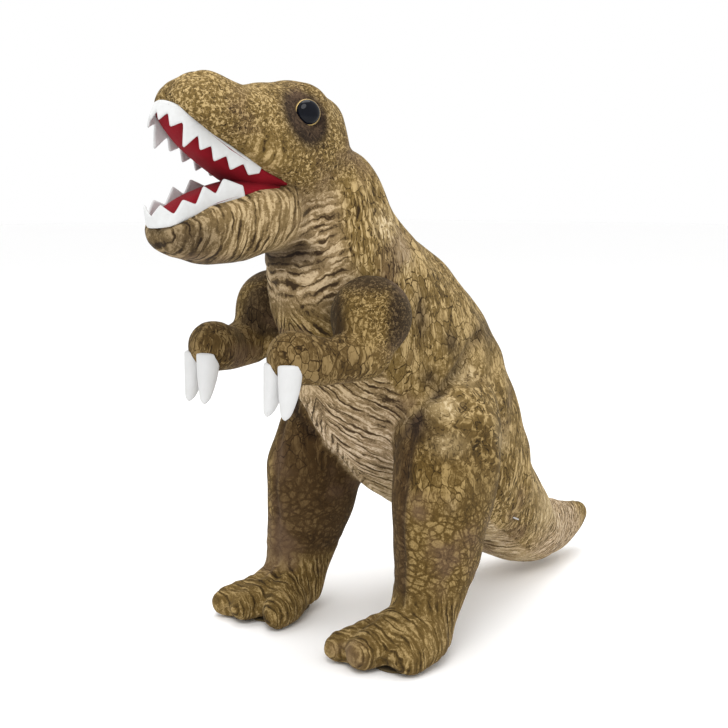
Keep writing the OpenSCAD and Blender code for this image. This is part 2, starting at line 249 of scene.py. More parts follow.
def shown(name, mesh):
    obj = bpy.data.objects.new(name, mesh)
    bpy.context.scene.collection.objects.link(obj)
    return obj


def modified(mesh, kind, **settings):
    """The mesh with one modifier applied."""
    obj = shown("modified", mesh)
    step = obj.modifiers.new(kind, kind)
    for key, value in settings.items():
        setattr(step, key, value)
    return applied(obj)


def read(items, name, width, kind=float):
    """One property of a mesh's items, as rows of numbers."""
    values = np.zeros(len(items) * width, kind)
    items.foreach_get(name, values)
    return values.reshape(-1, width)


def points_of(mesh):
    return read(mesh.vertices, "co", 3)


def normals_of(mesh):
    return read(mesh.vertices, "normal", 3)


def edges_of(mesh):
    return read(mesh.edges, "vertices", 2, np.int64)


def faces_of(mesh):
    """Each face's corners, for a mesh of quads."""
    return read(mesh.loops, "vertex_index", 1, np.int64).reshape(-1, 4)


def set_points(mesh, co):
    mesh.vertices.foreach_set("co", np.ascontiguousarray(co, float).ravel())
    mesh.update()


def store(mesh, name, values):
    """Keeps a number or a vector for each vertex, under a name that materials read."""
    vector = values.ndim == 2 and values.shape[1] == 3
    layer = mesh.attributes.new(name, "FLOAT_VECTOR" if vector else "FLOAT", "POINT")
    layer.data.foreach_set("vector" if vector else "value", np.ascontiguousarray(values, np.float32).ravel())


def finished(mesh):
    """A small piece's mesh with its print coordinates and smooth shading."""
    store(mesh, "rest_co", points_of(mesh) / MM)
    mesh.shade_smooth()
    return mesh


def relaxed(values, edges, steps, share=0.5):
    """Values at vertices, each moved towards the mean of its neighbours."""
    flat = values.reshape(len(values), -1).astype(float)
    count = np.bincount(edges.ravel(), minlength=len(flat))[:, None]
    for _ in range(steps):
        total = np.zeros_like(flat)
        np.add.at(total, edges[:, 0], flat[edges[:, 1]])
        np.add.at(total, edges[:, 1], flat[edges[:, 0]])
        flat = flat + share * (total / np.maximum(count, 1) - flat)
    return flat.reshape(values.shape)


def keep_largest(mesh):
    """Drops everything but the biggest connected skin."""
    edges = edges_of(mesh)
    label = np.arange(len(mesh.vertices))
    while True:
        low = np.minimum(label[edges[:, 0]], label[edges[:, 1]])
        new = label.copy()
        np.minimum.at(new, edges[:, 0], low)
        np.minimum.at(new, edges[:, 1], low)
        new = new[new]
        if (new == label).all():
            break
        label = new
    names, counts = np.unique(label, return_counts=True)
    keep = names[counts.argmax()]
    bm = bmesh.new()
    bm.from_mesh(mesh)
    bm.verts.ensure_lookup_table()
    drop = [bm.verts[i] for i in np.nonzero(label != keep)[0]]
    bmesh.ops.delete(bm, geom=drop, context="VERTS")
    bm.to_mesh(mesh)
    bm.free()
    return mesh


def stuffed(mesh, pressure, most):
    """Blows a skin up a little as stuffing does; no point moves further than most, in millimetres."""
    start = points_of(mesh)
    obj = shown("stuffing", mesh)
    cloth = obj.modifiers.new("Cloth", "CLOTH")
    s = cloth.settings
    s.quality = 4
    s.mass = 0.3
    s.tension_stiffness = 25
    s.compression_stiffness = 25
    s.shear_stiffness = 10
    s.bending_stiffness = 2
    s.use_pressure = True
    s.uniform_pressure_force = pressure
    s.effector_weights.gravity = 0
    cloth.collision_settings.use_collision = False
    scene = bpy.context.scene
    for number in range(1, 21):
        scene.frame_set(number)
    mesh = applied(obj)
    scene.frame_set(1)
    move = points_of(mesh) - start
    length = np.linalg.norm(move, axis=1, keepdims=True)
    set_points(mesh, start + move * np.minimum(1, most * MM / np.maximum(length, 1e-9)))
    return mesh


# ---------- where a point is on the toy ----------


def smoothstep(low, high, value):
    """0 at low and before it, 1 at high and beyond it, with a soft change between; low may be the larger."""
    t = np.clip((value - low) / (high - low), 0, 1)
    return t * t * (3 - 2 * t)


def around(line, p):
    """For each point, in millimetres: how far along a line of stations it is, its angle round the line from
    the underside, and its distance from the line as a share of the section there."""
    line = np.array(line, float)
    centres = line[:, :3]
    tilt = np.radians(line[:, 3])
    tangent = np.stack([0 * tilt, np.sin(tilt), -np.cos(tilt)], 1)
    normal = np.stack([0 * tilt, np.cos(tilt), np.sin(tilt)], 1)
    run = np.concatenate([[0], np.cumsum(np.linalg.norm(np.diff(centres, axis=0), axis=1))])
    best = np.full(len(p), 1e9)
    along, angle, share = np.zeros(len(p)), np.zeros(len(p)), np.zeros(len(p))
    for k in range(len(line)):
        rel = p - centres[k]
        axial = rel @ tangent[k]
        side, deep = rel[:, 0], rel @ normal[k]
        cost = np.abs(axial) + 0.05 * np.hypot(side, deep)
        near = cost < best
        best[near] = cost[near]
        along[near] = run[k] + axial[near]
        angle[near] = np.arctan2(side[near], -deep[near])
        share[near] = np.hypot(side / line[k, 4], deep / line[k, 5])[near]
    return along, angle, share


def bump(p, centre, radius):
    """A soft bump of height 1 about a centre."""
    return np.exp(-(((p - np.array(centre)) / radius) ** 2).sum(1))


def mirrored(p):
    """The points with every X made positive."""
    q = p.copy()
    q[:, 0] = np.abs(q[:, 0])
    return q


def segment_distance(p, a, b):
    """Distance to a straight segment, and how far along it the nearest point is, from 0 to 1."""
    a, b = np.array(a, float), np.array(b, float)
    t = np.clip(((p - a) @ (b - a)) / ((b - a) @ (b - a)), 0, 1)
    return np.linalg.norm(p - (a + t[:, None] * (b - a)), axis=1), t


def path_distance(p, points):
    """Distance to a chain of straight steps."""
    return np.min([segment_distance(p, a, b)[0] for a, b in zip(points, points[1:])], axis=0)


# ---------- the body's skin ----------

SPINE = TRUNK + TAIL[1:]
spine_line = smooth_line(SPINE, 12)
leg_line = smooth_line(LEG, 8)


def lip_bow(y, upper):
    """How far a lip's line leaves its straight plane, upwards."""
    arch = np.sin(math.pi * np.clip((LIP[1] - y) / LIP_ARCH, 0, 1))
    return -UPPER_SAG * arch if upper else LOWER_RISE * arch


def bowed(p):
    """The head's points, moved so that the lips follow their curved lines."""
    y, z = p[:, 1], p[:, 2]
    above = z - (LIP[2] - math.tan(UPPER_SLOPE) * (y - LIP[1]))
    below = (LIP[2] + math.tan(LOWER_SLOPE) * (y - LIP[1])) - z
    ahead = LIP[1] - y > 0
    q = p.copy()
    middle = (above + below) / 2 - below
    q[:, 2] += lip_bow(y, True) * smoothstep(26, 4, above) * ahead * (above > -4) * (middle > 0)
    q[:, 2] += lip_bow(y, False) * smoothstep(26, 4, below) * ahead * (below > -4) * (middle <= 0)
    return q


def body_skin():
    """The whole body without its arms as one stuffed skin."""
    parts = [
        lofted(smooth_line(TRUNK, 4)),
        lofted(smooth_line(NECK, 4)),
        lofted(capped(HEAD, 21, -11), cut=(0, -math.sin(UPPER_SLOPE), -math.cos(UPPER_SLOPE))),
        lofted(capped(JAW, 18, -12), cut=(0, -math.sin(LOWER_SLOPE), math.cos(LOWER_SLOPE))),
        lofted(capped(TAIL, -42, 13)),
    ]
    for side in (1, -1):
        parts.append(lofted(capped(LEG, -12), side))
        for instep, tip in (*TOES[side], (HEEL, TOES[side][1][0])):
            parts.append(linked(side, instep, tip, FOOT_X))
    mesh = keep_largest(modified(joined(parts), "REMESH", mode="VOXEL", voxel_size=SKIN_VOXEL * MM))
    set_points(mesh, relaxed(points_of(mesh), edges_of(mesh), 4))
    mesh = modified(stuffed(mesh, 4, 1.5), "SUBSURF", levels=1)
    p = relaxed(points_of(mesh), edges_of(mesh), 2)
    set_points(mesh, bowed(p / MM) * MM)
    return mesh


def body_zones(p):
    """Masks and print coordinates for points of the body's skin, in millimetres."""
    q = mirrored(p)
    along, angle, _ = around(spine_line, p)
    _, _, leg_share = around(leg_line, q)
    leg_angle = np.arctan2(q[:, 0] - FOOT_X, -(p[:, 1] + 40))
    y, z = p[:, 1], p[:, 2]
    leg = smoothstep(1.12, 1.02, leg_share) * smoothstep(150, 138, z)
    leg = np.maximum(leg, smoothstep(64, 58, z) * (y < 0) * (q[:, 0] > 22))
    head = smoothstep(276, 292, z + 0.35 * (-100 - y)) * (y < -60)
    mouth_line = LIP[2] + 2 + 0.12 * (LIP[1] - y)
    jaw = smoothstep(-122, -132, y) * smoothstep(mouth_line + 1, mouth_line - 1, z)
    rounding = np.abs(angle)
    below = smoothstep(BELLY_EDGE + 0.03, BELLY_EDGE - 0.03, rounding)
    belly = below * (1 - leg) * smoothstep(286, 270, z) * (1 - jaw)
    return {
        "along": along, "round": rounding, "leg_angle": leg_angle, "leg": leg, "jaw": jaw, "belly": belly,
        "head": head * (1 - jaw), "tail": smoothstep(290, 330, along) * (1 - leg),
        "foot": smoothstep(46, 34, z) * leg,
    }


def groove(distance, width, depth):
    """The relief of a groove, for points at a distance from its middle line."""
    return -depth * np.exp(-((distance / width) ** 2))


HIP_CREASE = ((48, 8, 192), (51, -8, 184), (53, -22, 172), (56, -40, 160), (54, -58, 147), (50, -63, 136),
              (38, -60, 124))
NOSTRIL = ((7, -186, 338), (10, -180, 341), (12, -171, 342))
# The brows, the nose, the dip between them, the nape and the eyes' hollows: (height, centre, reach)
SWELLINGS = (
    (3.4, (21, -108, 338), (10, 13, 9)), (1.6, (9, -176, 342), (9, 10, 7)),
    (-2.4, (0, -149, 342), (30, 9, 10)), (3.0, (14, -68, 300), (18, 16, 12)), (-2.2, EYE, (9, 9, 9)),
)


def shape_body(mesh):
    """Seams, creases, brows, nostrils and toe rings, as real relief."""
    p = points_of(mesh) / MM
    n = normals_of(mesh)
    q = mirrored(p)
    zone = body_zones(p)
    leg, foot = zone["leg"], zone["foot"]
    y, z = p[:, 1], p[:, 2]
    move = groove(path_distance(q, NOSTRIL), 1.8, 1.8)
    for height, centre, reach in SWELLINGS:
        move += height * bump(q, centre, reach)
    middle = np.abs(p[:, 0])
    top_seam = (zone["round"] > 2.4) | ((zone["head"] > 0.5) & (z > 320))
    move += groove(middle, 1.6, 0.9) * top_seam
    move += groove(middle, 1.6, 0.7) * ((z < 262) & (y < -130))
    side_seam = (zone["round"] - BELLY_EDGE) * 50
    move += groove(side_seam, 1.8, 0.9) * (leg < 0.2) * (z < 268) * (zone["along"] < 300)
    leg_seam = np.abs(q[:, 0] - LEG_SEAM_X)
    move += groove(leg_seam, 1.8, 1.6) * (leg > 0.6) * (z < 140) * (z > 34)
    hip = path_distance(q, HIP_CREASE)
    move += groove(hip, 2.8, 3.4)
    move += 2.2 * bump(q, (64, -25, 150), (22, 26, 26)) * smoothstep(2, 12, hip)
    rings = np.sin((y + 0.25 * q[:, 0]) * 2 * math.pi / 7.5) + 0.5 * np.sin(y * 2 * math.pi / 4.3)
    move += 0.38 * rings * foot * (z > 5) * smoothstep(-45, -60, y)
    for side, clefts in TOE_CLEFTS.items():
        for start, end in clefts:
            cleft = groove(segment_distance(q, start, end)[0], 2.8, 3.0)
            move += cleft * foot * (p[:, 0] * side > 0)
    folds = np.sin(z * 2 * math.pi / 9 + 1.4 * np.sin(q[:, 0] / 9))
    move += 0.35 * folds * (leg - foot).clip(0) * smoothstep(60, 40, z)
    throat = zone["belly"] * smoothstep(205, 225, z)
    move += 0.4 * np.sin(zone["along"] * 2 * math.pi / 8 + np.sin(q[:, 0] / 5)) * throat
    rng = np.random.default_rng(7)
    for _ in range(26):
        direction = rng.normal(size=3)
        direction /= np.linalg.norm(direction)
        wave = rng.uniform(22, 48)
        move += 0.17 * np.sin(p @ direction * 2 * math.pi / wave + rng.uniform(0, 6.28))
    move = relaxed(move, edges_of(mesh), 1)
    p = p + n * move[:, None]
    p[:, 2] = np.maximum(p[:, 2], SOLE_T * 0.4)
    set_points(mesh, p * MM)


# Darker and lighter places on the skin: (x, y, z), (reach along each axis). Most dark ones, in the hip
# crease, by the arm and under the jaw and chin, are painted shade; the one on the upper back is print.
SHADE_AND_DARK_SPOTS = (
    ((48, -50, 206), (9, 6, 16)), ((51, -27, 188), (12, 7, 9)), ((58, -60, 141), (9, 9, 10)),
    ((49, -45, 168), (9, 6, 7)), ((33, -106, 204), (9, 7, 18)), ((22, -120, 245), (9, 10, 6)),
    ((30, 20, 190), (26, 20, 12)), ((12, -194, 254), (24, 18, 12)), ((0, -160, 240), (30, 30, 6)),
)
LIGHT_SPOTS = (
    ((64, -46, 152), (9, 9, 6)), ((53, -17, 167), (9, 9, 7)), ((70, -50, 131), (8, 9, 6)),
    ((39, -60, 246), (9, 9, 12)), ((36, -70, 260), (9, 9, 9)), ((60, 20, 120), (12, 9, 9)),
    ((66, -8, 128), (9, 6, 8)), ((28, 112, 56), (18, 26, 18)),
)


def spots(q, places):
    return np.clip(sum(bump(q, centre, reach) for centre, reach in places), 0, 1)


def mark_body(mesh):
    """Stores the print's coordinates and masks on the skin; some masks mark painted shade."""
    p = points_of(mesh) / MM
    q = mirrored(p)
    zone = body_zones(p)
    leg, foot, head, jaw = (zone[name] for name in ("leg", "foot", "head", "jaw"))
    y, z = p[:, 1], p[:, 2]
    radius = np.interp(zone["along"], (0, 120, 220, 330, 420), (44, 56, 60, 40, 16))
    flow = np.stack([zone["along"], zone["round"] * radius, 0 * radius], 1)
    leg_flow = np.stack([500 - z, zone["leg_angle"] * 27, 40 * np.sign(p[:, 0])], 1)
    on_leg = leg > 0.5
    flow[on_leg] = leg_flow[on_leg]
    from_eye = (q - np.array((EYE[0], EYE[1] - 2, EYE[2] - 3))) / (30, 16, 16.5)
    eye_patch = np.exp(-((from_eye**2).sum(1) ** 3))
    neck = (1 - head) * (1 - jaw) * smoothstep(200, 225, z)
    throat = neck * smoothstep(1.25, 0.85, zone["round"])
    belly = zone["belly"] * (1 - neck)
    # Darker on the legs' inner sides: painted shade between the legs.
    inner_leg_shade = leg * (1 - foot) * smoothstep(FOOT_X + 4, FOOT_X - 3, q[:, 0])
    shin = leg * (1 - foot) * smoothstep(112, 84, z)
    hip = smoothstep(0, 10, path_distance(q, HIP_CREASE)) * bump(q, (66, -12, 140), (30, 46, 46))
    cheek = bump(q, (27, -152, 299), (18, 13, 9))
    # A dark line along the hip crease: painted shade in the crease.
    hip_crease_shade = np.exp(-((path_distance(q, HIP_CREASE) / 3.5) ** 2))
    leg_seam = np.exp(-(((q[:, 0] - LEG_SEAM_X) / 1.8) ** 2)) * leg * (y < -45) * (z > 34)
    # Darker under the jaw: painted shade.
    under_jaw_shade = bump(q, (0, -122, 243), (34, 9, 9))
    tail = zone["tail"] * smoothstep(182, 160, y)
    pale = 0.9 * belly * smoothstep(205, 120, z) + 0.5 * throat + 0.9 * tail + 0.25 * jaw
    store(mesh, "rest_co", p)
    store(mesh, "flow", flow)
    masks = {
        "m_head": np.clip(head - cheek, 0, 1),
        "m_foot": foot,
        "m_throat": throat,
        "m_belly": belly,
        "m_tail": zone["tail"],
        "m_scale": shin,
        "m_jaw": np.clip(jaw + cheek, 0, 1),
        "m_hip": np.clip(1.4 * hip, 0, 1) * (1 - shin),
        "m_pale": np.clip(pale, 0, 1),
        "m_light": spots(q, LIGHT_SPOTS) + 0.6 * belly * smoothstep(122, 84, z),
        "m_inner_shade": inner_leg_shade * smoothstep(165, 120, z),
        "m_leg": np.clip(leg + 0.3 * hip + 0.7 * smoothstep(168, 186, y), 0, 1) * (1 - 0.35 * foot),
        # The print's dark patch round each eye, plus painted shade in the hip crease, by the arm and under
        # the jaw and chin, and the leg seam's dark line.
        "m_eye_and_shade": np.clip(1.4 * eye_patch + 0.8 * spots(q, SHADE_AND_DARK_SPOTS) + 0.95 * hip_crease_shade + 0.8 * under_jaw_shade
                         + 0.55 * leg_seam, 0, 1),
    }
    for name, values in masks.items():
        store(mesh, name, relaxed(values, edges_of(mesh), 2))
    return zone


def piece_of(mesh, name, chosen):
    """A piece of a skin, with the whole skin's own normals at its borders."""
    faces = faces_of(mesh)[chosen]
    used, index = np.unique(faces, return_inverse=True)
    made = bpy.data.meshes.new(name)
    made.from_pydata(points_of(mesh)[used], [], index.reshape(-1, 4).tolist())
    for layer in mesh.attributes:
        if layer.name.startswith("m_") or layer.name in ("rest_co", "flow"):
            vector = layer.data_type == "FLOAT_VECTOR"
            values = read(layer.data, "vector" if vector else "value", 3 if vector else 1, np.float32)
            store(made, layer.name, values[used])
    made.shade_smooth()
    made.normals_split_custom_set_from_vertices(normals_of(mesh)[used])
    return shown(name, made)


# ---------- materials ----------


class Look:
    """A principled material and short calls for its nodes."""

    def __init__(self, name, **settings):
        self.material = bpy.data.materials.new(name)
        self.material.use_nodes = True
        self.tree = self.material.node_tree
        self.tree.nodes.clear()
        out = self.node("OutputMaterial")
        self.shader = self.node("BsdfPrincipled")
        self.tree.links.new(self.shader.outputs[0], out.inputs[0])
        for key, value in settings.items():
            self.shader.inputs[key.replace("_", " ")].default_value = value

    def node(self, kind, inputs=None, **settings):
        """A new node; inputs are values or sockets under the names or numbers of its sockets."""
        node = self.tree.nodes.new("ShaderNode" + kind)
        for key, value in settings.items():
            setattr(node, key, value)
        for key, value in (inputs or {}).items():
            self.feed(node.inputs[key], value)
        return node

    def feed(self, socket, value):
        if isinstance(value, bpy.types.NodeSocket):
            self.tree.links.new(value, socket)
        else:
            socket.default_value = value

    def set(self, name, value):
        self.feed(self.shader.inputs[name], value)

    def math(self, operation, a, b=0.0):
        return self.node("Math", {0: a, 1: b}, operation=operation).outputs[0]

    def vector_math(self, operation, a, b):
        second = "Scale" if operation == "SCALE" else 1
        return self.node("VectorMath", {0: a, second: b}, operation=operation).outputs[0]

    def value(self, name):
        return self.node("Attribute", attribute_name=name).outputs["Fac"]

    def vector(self, name):
        return self.node("Attribute", attribute_name=name).outputs["Vector"]

    def turned(self, vector, scale, angle=0.0):
        """The vector turned about Z, then scaled along each axis."""
        turn = self.node("Mapping", {"Vector": vector, "Rotation": (0, 0, math.radians(angle))})
        return self.node("Mapping", {"Vector": turn.outputs[0], "Scale": scale}).outputs[0]

    def noise(self, vector, scale, detail=3.0, colour=False, distortion=0.0):
        inputs = {"Vector": vector, "Scale": scale, "Detail": detail, "Distortion": distortion}
        return self.node("TexNoise", inputs).outputs["Color" if colour else "Fac"]

    def warped(self, vector, by, scale):
        """The vector pushed about by noise, by that many millimetres."""
        push = self.vector_math("SUBTRACT", self.noise(vector, scale, 2, colour=True), (0.5, 0.5, 0.5))
        return self.vector_math("ADD", vector, self.vector_math("SCALE", push, by))

    def steps(self, value, low, high, to_low=0.0, to_high=1.0):
        inputs = {"Value": value, "From Min": low, "From Max": high, "To Min": to_low, "To Max": to_high}
        return self.node("MapRange", inputs, interpolation_type="SMOOTHSTEP").outputs["Result"]

    def mix(self, share, a, b):
        """Two colours mixed, each a socket or three numbers."""
        a, b = (c if isinstance(c, bpy.types.NodeSocket) else (*c, 1) for c in (a, b))
        return self.node("Mix", {0: share, 6: a, 7: b}, data_type="RGBA").outputs[2]

    def blend_values(self, share, a, b):
        return self.node("Mix", {0: share, 2: a, 3: b}, data_type="FLOAT").outputs[0]

    def cells(self, vector, edge=0.09):
        """Light cells between dark cracks, each cell with its own brightness."""
        inputs = {"Vector": vector, "Scale": 1}
        crack = self.node("TexVoronoi", inputs, feature="DISTANCE_TO_EDGE").outputs["Distance"]
        cell = self.node("TexVoronoi", inputs, feature="F1").outputs["Color"]
        brightness = self.node("SeparateColor", {0: cell}).outputs[0]
        return self.math("MULTIPLY", self.steps(crack, 0.0, edge, 0.15), self.sum(0.42, (brightness, 0.5)))

    def wrinkles(self, vector, line=0.05):
        """Light ridges and thin dark lines, drawn out along the vector's coarse axis."""
        ridge = self.steps(self.noise(vector, 1.0, 2.5, distortion=0.7), 0.42, 0.70)
        shifted = self.vector_math("ADD", vector, (17.3, 5.1, 3.7))
        bend = self.math("SUBTRACT", self.noise(shifted, 0.75, 1.5, distortion=1.0), 0.5)
        cut = self.steps(self.math("ABSOLUTE", bend), 0.0, line, 0.15)
        return self.math("MULTIPLY", self.sum(0.34, (ridge, 0.62)), cut)

    def stripes(self, vector, spacing, length, angle=0.0):
        """Long wavy dark lines, one after another along the turned X axis."""
        turned = self.turned(self.warped(vector, 3.0, 0.16), (1 / spacing, 1 / length, 1 / length), angle)
        split = self.node("SeparateXYZ", {0: turned})
        sway = self.noise(turned, 0.5, 3, distortion=0.5)
        wave = self.math("SINE", self.sum(0.0, (split.outputs[0], 2 * math.pi), (sway, 15)))
        ridge = self.steps(self.noise(turned, 1.8, 4, distortion=0.6), 0.36, 0.68)
        strength = self.steps(self.noise(turned, 1.1, 3), 0.36, 0.62, 0.15, 1.0)
        line = self.blend_values(strength, 1.0, self.steps(wave, -1.0, 0.1, 0.12))
        return self.math("MULTIPLY", self.sum(0.34, (ridge, 0.60)), line)

    def sum(self, start, *terms):
        """start plus each value times its factor."""
        total = start
        for value, factor in terms:
            total = self.math("ADD", total, self.math("MULTIPLY", value, factor))
        return total

    def relief(self, height, distance, strength=1.0):
        node = self.node("Bump", {"Height": height, "Distance": distance * MM, "Strength": strength})
        self.set("Normal", node.outputs[0])


# The skin's dark, middle and light tones, in the zones that its masks mark; the last two zones are painted
# shade on the legs' inner sides and forearms, and in creases and under the jaw, besides the print's patch
# round the eyes and a seam's dark line.
ZONE_TONES = (
    (None, (0.026, 0.014, 0.004), (0.160, 0.102, 0.031), (0.440, 0.315, 0.143)),
    ("m_leg", (0.020, 0.011, 0.002), (0.092, 0.054, 0.013), (0.285, 0.195, 0.075)),
    ("m_pale", (0.050, 0.029, 0.014), (0.300, 0.212, 0.120), (0.600, 0.475, 0.340)),
    ("m_light", (0.110, 0.070, 0.030), (0.370, 0.270, 0.130), (0.600, 0.480, 0.300)),
    ("m_inner_shade", (0.018, 0.009, 0.003), (0.055, 0.030, 0.010), (0.120, 0.074, 0.030)),
    ("m_eye_and_shade", (0.007, 0.003, 0.002), (0.021, 0.012, 0.007), (0.058, 0.035, 0.020)),
)


def printed_velour():
    """Short velour printed with scales and wrinkles; each part of the toy has its own pattern, and painted
    shade darkens its creases and the places under and between its parts.
    """
    look = Look("printed_velour_skin", Roughness=0.95, Specular_IOR_Level=0.15, Sheen_Weight=0.06,
                Sheen_Roughness=0.5, Sheen_Tint=(0.8, 0.68, 0.42, 1))
    rest = look.warped(look.vector("rest_co"), 3.0, 0.10)
    flow = look.warped(look.vector("flow"), 6.0, 0.05)
    pebble = look.wrinkles(look.turned(rest, (1 / 1.9, 1 / 1.9, 1 / 1.7)), 0.035)
    upright = look.wrinkles(look.turned(rest, (1 / 2.6, 1 / 2.4, 1 / 9)), 0.05)
    polygons = look.cells(look.turned(look.warped(rest, 5, 0.12), (1 / 5.5, 1 / 5, 1 / 10)), 0.06)
    body = look.blend_values(look.steps(look.noise(rest, 0.03, 2), 0.42, 0.58), upright,
                             look.math("MULTIPLY", polygons, look.sum(0.6, (upright, 0.9))))
    grain = look.sum(0.62, (pebble, 0.75))
    throat = look.math("MULTIPLY", look.stripes(flow, 4.6, 22), grain)
    flowing = look.math("MULTIPLY", look.stripes(flow, 3.8, 24, 55), grain)
    rings = look.sum(0.14, (look.math("MULTIPLY", look.stripes(rest, 3.4, 18, 90), grain), 0.74))
    scales = look.sum(0.30, (look.cells(look.turned(flow, (1 / 4.2, 1 / 5.2, 1), 35), 0.25), 0.6))
    scales = look.math("MULTIPLY", scales, look.sum(0.55, (pebble, 0.9)))
    lumps = look.wrinkles(look.turned(rest, (1 / 5.6, 1 / 5.6, 1 / 4.4)), 0.035)
    jaw = look.math("MULTIPLY", look.stripes(rest, 5.0, 22, 90), grain)
    tail = look.math("MULTIPLY", look.stripes(flow, 3.2, 14, 30), grain)
    tone = body
    for mask, pattern in (("m_hip", lumps), ("m_scale", scales), ("m_throat", throat), ("m_belly", flowing),
                          ("m_tail", tail), ("m_foot", rings), ("m_head", pebble), ("m_jaw", jaw)):
        tone = look.blend_values(look.value(mask), tone, pattern)
    mottle = look.noise(rest, 0.05, 4)
    fine = look.noise(rest, 0.9, 3)
    tone = look.sum(-0.60, (tone, 1.25), (mottle, 0.6), (fine, 0.40))
    low, high = look.steps(tone, 0.0, 0.45), look.steps(tone, 0.42, 1.0)
    _, dark, middle, light = ZONE_TONES[0]
    for mask, zone_dark, zone_middle, zone_light in ZONE_TONES[1:]:
        share = look.value(mask)
        dark = look.mix(share, dark, zone_dark)
        middle = look.mix(share, middle, zone_middle)
        light = look.mix(share, light, zone_light)
    colour = look.mix(high, look.mix(low, dark, middle), light)
    stain = look.steps(look.noise(rest, 0.022, 3), 0.56, 0.70, 0.0, 0.55)
    brown = look.mix(low, (0.03, 0.015, 0.010), (0.135, 0.083, 0.050))
    look.set("Base Color", look.mix(stain, colour, brown))
    look.relief(look.sum(0.0, (tone, 0.5), (look.noise(rest, 3.0, 2), 0.5)), 0.35, 0.7)
    return look.material


# The relief of a cloth: (noise scale, noise detail, height in millimetres, stretch along Y)
VELOUR_NAP = (2.4, 3, 0.35, 1)
FELT_NAP = (1.7, 4, 0.3, 2.5)


def plain(name, grain, shade, colour, nap=None, **settings):
    """A material of one colour that varies a little; grain is its noise's scale and detail."""
    look = Look(name, **settings)
    rest = look.vector("rest_co")
    look.set("Base Color", look.mix(look.noise(rest, *grain), shade, colour))
    if nap:
        scale, detail, height, stretch = nap
        look.relief(look.noise(look.turned(rest, (1, stretch, 1)), scale, detail), height, 0.6)
    return look.material


def velour(name, shade, colour, sheen=0.15):
    return plain(name, (0.12, 4), shade, colour, VELOUR_NAP, Roughness=0.9, Sheen_Weight=sheen,
                 Sheen_Roughness=0.4, Specular_IOR_Level=0.15)


def paper_floor():
    look = Look("floor_card", Roughness=0.8)
    grain = look.noise(look.node("TexCoord").outputs["Object"], 9.0, 4)
    look.set("Base Color", look.mix(grain, (0.980, 0.980, 0.978), (0.992, 0.992, 0.992)))
    return look.material


skin_material = printed_velour()
red_material = velour("red_velour_cloth", (0.15, 0.003, 0.007), (0.24, 0.006, 0.014), 0.02)
claw_material = velour("white_velour_cloth", (0.54, 0.54, 0.53), (0.62, 0.62, 0.62))
sole_material = velour("sole_velour_cloth", (0.08, 0.055, 0.025), (0.16, 0.12, 0.06))
washer_material = velour("washer_plastic", (0.03, 0.03, 0.03), (0.05, 0.05, 0.05), 0.0)
felt_material = plain("white_felt_cloth", (0.35, 5), (0.52, 0.52, 0.51), (0.62, 0.63, 0.63), FELT_NAP,
                      Roughness=0.95, Sheen_Weight=0.25)
eye_material = plain("eye_gloss", (0.4, 2), (0.0010, 0.0012, 0.0025), (0.0035, 0.0045, 0.0090),
                     Roughness=0.05, Specular_IOR_Level=0.14)
gold_material = plain("eye_ring_gold", (0.8, 3), (0.20, 0.13, 0.04), (0.42, 0.30, 0.12),
                      Roughness=0.35, Metallic=0.7)
nylon_material = plain("tag_nylon", (0.5, 2), (0.8, 0.8, 0.8), (0.93, 0.93, 0.93),
                       Roughness=0.3, Transmission_Weight=0.5)

# ---------- the skin's pieces ----------

skin = body_skin()
shape_body(skin)
zone = mark_body(skin)
face = faces_of(skin)
middle = (points_of(skin) / MM)[face].mean(1)
face_zone = {name: values[face].mean(1) for name, values in zone.items()}
is_leg = (face_zone["leg"] > 0.5) & (middle[:, 2] < LEG_TOP)
is_tail = (middle[:, 1] > TAIL_START) & ~is_leg
is_jaw = (face_zone["jaw"] > 0.5) & ~is_leg
neck_tilt = math.radians(TRUNK[1][3])
neck_centre = np.array(TRUNK[1][:3])
neck_axis = np.array((0, -math.sin(neck_tilt), math.cos(neck_tilt)))
neck_height = (middle - neck_centre) @ neck_axis
is_neck = (neck_height > NECK_ENDS[0]) & (neck_height <= NECK_ENDS[1]) & ~is_jaw & ~is_leg
is_head = (neck_height > NECK_ENDS[1]) & ~is_jaw
is_head |= (middle[:, 1] < CHEEK_Y) & ~is_jaw & (middle[:, 2] > CHEEK_Z)
is_neck &= ~is_head
rest_of_it = ~(is_leg | is_tail | is_jaw | is_neck | is_head)
is_belly = rest_of_it & (face_zone["round"] < BELLY_EDGE)
is_torso = rest_of_it & ~is_belly
left = middle[:, 0] > 0

PRINTED = {
    "head_skin": (is_head, ("head_panel_left", "head_panel_right", "head_stuffing")),
    "jaw_skin": (is_jaw, ("jaw_cover", "jaw_stuffing")),
    "neck_skin": (is_neck, ()),
    "torso_skin": (is_torso, ("side_panel_left", "side_panel_right", "body_stuffing")),
    "belly_skin": (is_belly, ("belly_panel",)),
    "leg_skin_left": (is_leg & left, ("leg_outer_left", "leg_inner_left", "leg_stuffing_left")),
    "leg_skin_right": (is_leg & ~left, ("leg_outer_right", "leg_inner_right", "leg_stuffing_right")),
    "tail_skin": (is_tail, ("tail_panel_left", "tail_panel_right", "tail_stuffing")),
}
pieces = {}
for name, (chosen, nodes) in PRINTED.items():
    obj = piece_of(skin, name, chosen)
    obj.data.materials.append(skin_material)
    if nodes:
        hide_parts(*nodes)
    pieces[name] = obj

for name, body in (("head_skin", "head"), ("torso_skin", "torso"), ("belly_skin", "torso")):
    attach(pieces[name], body)
bend_from, bend_to = ((neck_centre + neck_axis * height) * MM for height in NECK_BEND)
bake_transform(pieces["neck_skin"], "torso", "head", bend_from, bend_to)
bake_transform(pieces["jaw_skin"], "head", "jaw", (0, -0.129, 0.27), (0, -0.156, 0.27))
